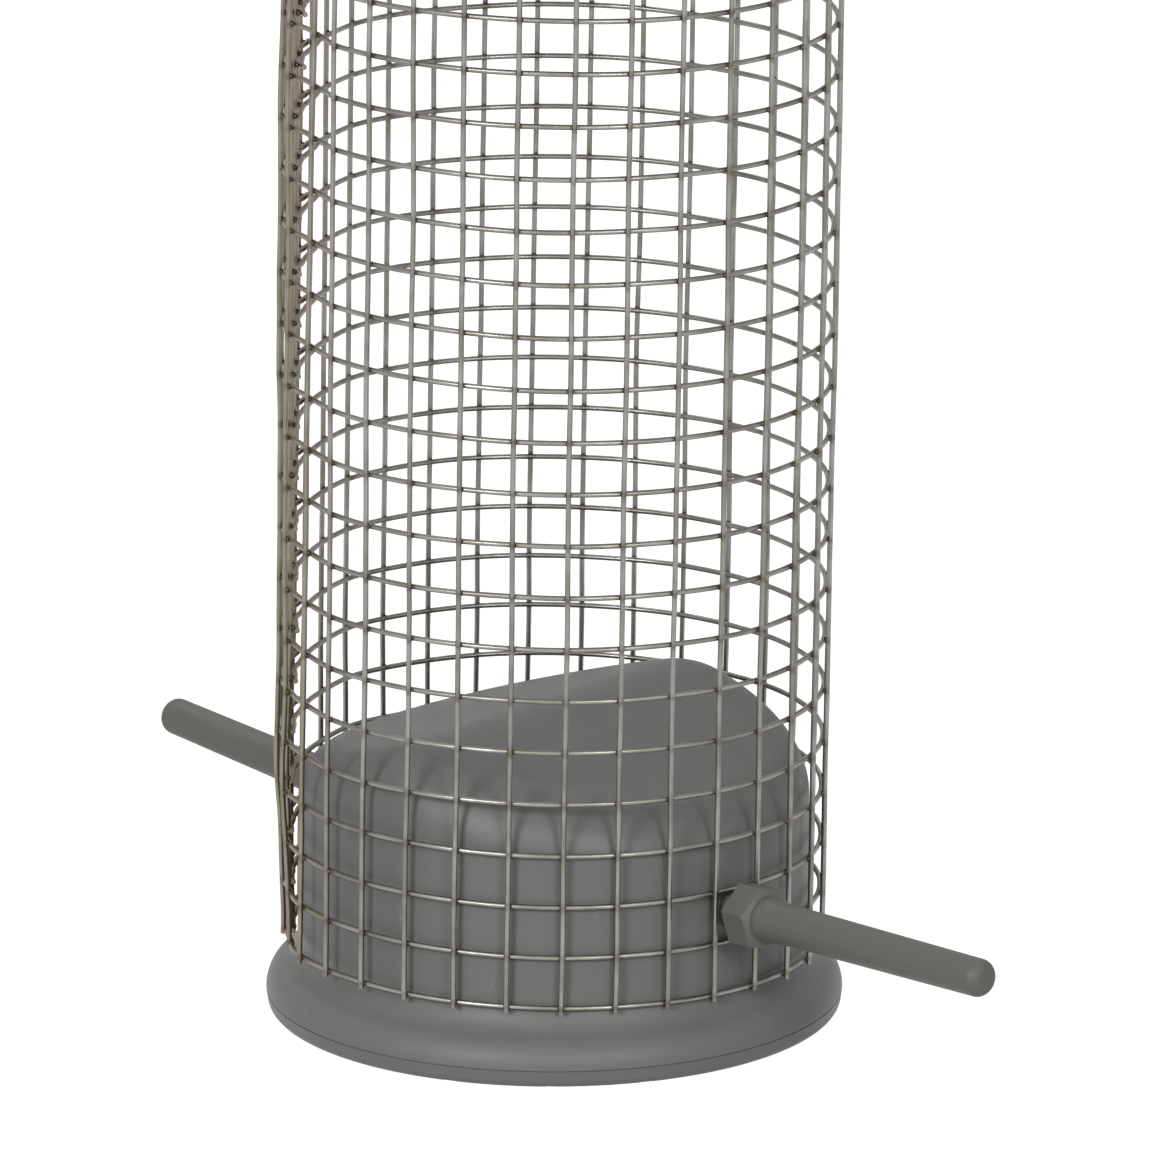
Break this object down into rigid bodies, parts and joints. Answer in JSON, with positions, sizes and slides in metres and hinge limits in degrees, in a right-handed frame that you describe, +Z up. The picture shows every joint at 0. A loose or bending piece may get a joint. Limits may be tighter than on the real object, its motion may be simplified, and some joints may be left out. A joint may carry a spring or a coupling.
{
  "type": "peanut bird feeder",
  "caption": "Hanging or standing peanut feeder: a welded mesh tube on a grey drum base with opposite perches, under a domed lid that slides up a wire bail.",
  "frame": {"origin": "centre of the foot's flat underside", "axes": "+Z up along the tube, the perches along X"},
  "size_m": [0.1487, 0.076, 0.3377],
  "materials": {
    "casting_grey": "matte grey powder coat on die-cast metal, with faint scratches",
    "perch_grey": "matte grey powder coat, slightly olive",
    "mesh_steel": "drawn steel wire with small brown weld marks",
    "bail_steel": "drawn steel wire",
    "screw_steel": "plain zinc-plated steel",
    "bush_black": "matte black moulded plastic"
  },
  "bodies": {
    "feeder": {"base_casting": "casting_grey", "foot_plate": "casting_grey", "foot_screws": "screw_steel", "perch_right": "perch_grey", "perch_left": "perch_grey", "mesh_hoops": "mesh_steel", "mesh_uprights": "mesh_steel", "top_collar": "casting_grey", "collar_screws": "screw_steel", "collar_washers": "screw_steel", "hanger_bail": "bail_steel", "bail_clips": "screw_steel"},
    "lid": {"lid_dome": "casting_grey", "lid_bushes": "bush_black"}
  },
  "joints": [
    {"name": "lid_slide", "type": "slide", "parent": "feeder", "child": "lid", "axis": [0, 0, 1], "range_m": [0, 0.08]}
  ]
}
